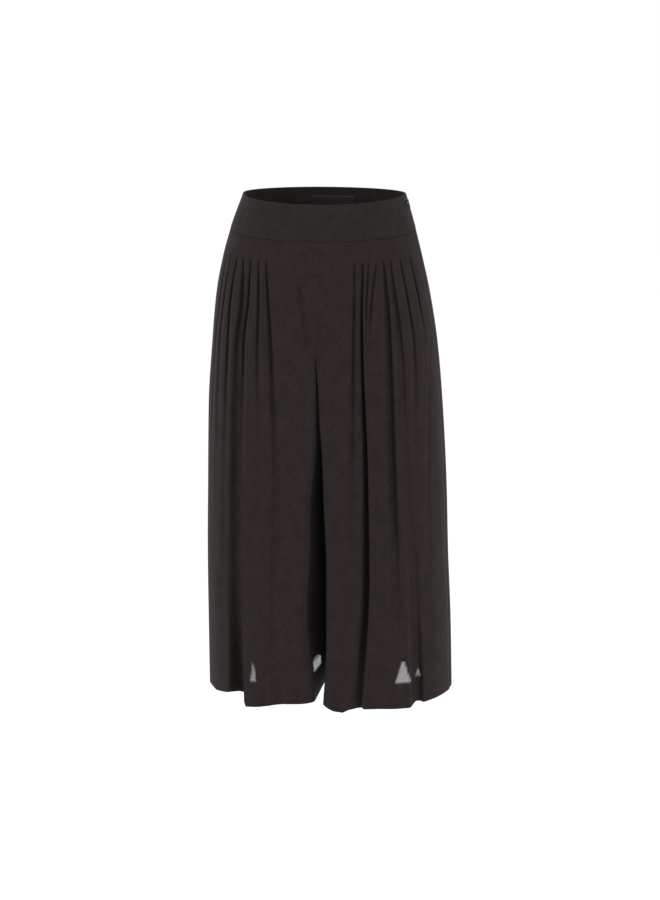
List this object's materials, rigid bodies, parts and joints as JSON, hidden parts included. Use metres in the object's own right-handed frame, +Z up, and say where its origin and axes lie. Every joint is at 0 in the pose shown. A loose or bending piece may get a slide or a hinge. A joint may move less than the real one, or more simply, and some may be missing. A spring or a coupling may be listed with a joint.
{
  "type": "wide-leg pleated culottes",
  "caption": "Cropped wide-leg culottes in dark crepe, with a deep smooth waistband, soft pleats let out below it, a turned-up hem and a hidden side zip, held in worn form.",
  "frame": {"origin": "centre of the waistband's ring, halfway up the band, on the wearer's centre line", "axes": "+Z up along the wearer's trunk, -Y to the front, +X to the wearer's left"},
  "size_m": [0.3843, 0.2964, 0.7879],
  "materials": {
    "crepe": "matte charcoal crepe, slightly sheer in one layer",
    "band_crepe": "the same crepe, doubled and faced",
    "label_satin": "black woven satin, bare",
    "zip_tape_nylon": "black knitted zip tape",
    "zip_enamel": "black enamelled zip slider and pull"
  },
  "bodies": {
    "culottes": {"waistband_front": "band_crepe", "waistband_back": "band_crepe", "leg_front_right": "crepe", "leg_front_left": "crepe", "leg_back_right": "crepe", "leg_back_left": "crepe", "label": "label_satin", "zip_tape": "zip_tape_nylon", "zip_slider": "zip_enamel"},
    "pull_tab": {"zip_pull": "zip_enamel"}
  },
  "joints": [
    {"name": "pull_tab_swing", "type": "hinge", "parent": "culottes", "child": "pull_tab", "pos_m": [0.13362, -0.0128, 0.01767], "axis": [-0.1371, -0.9851, -0.1034], "range_deg": [0, 150]}
  ]
}
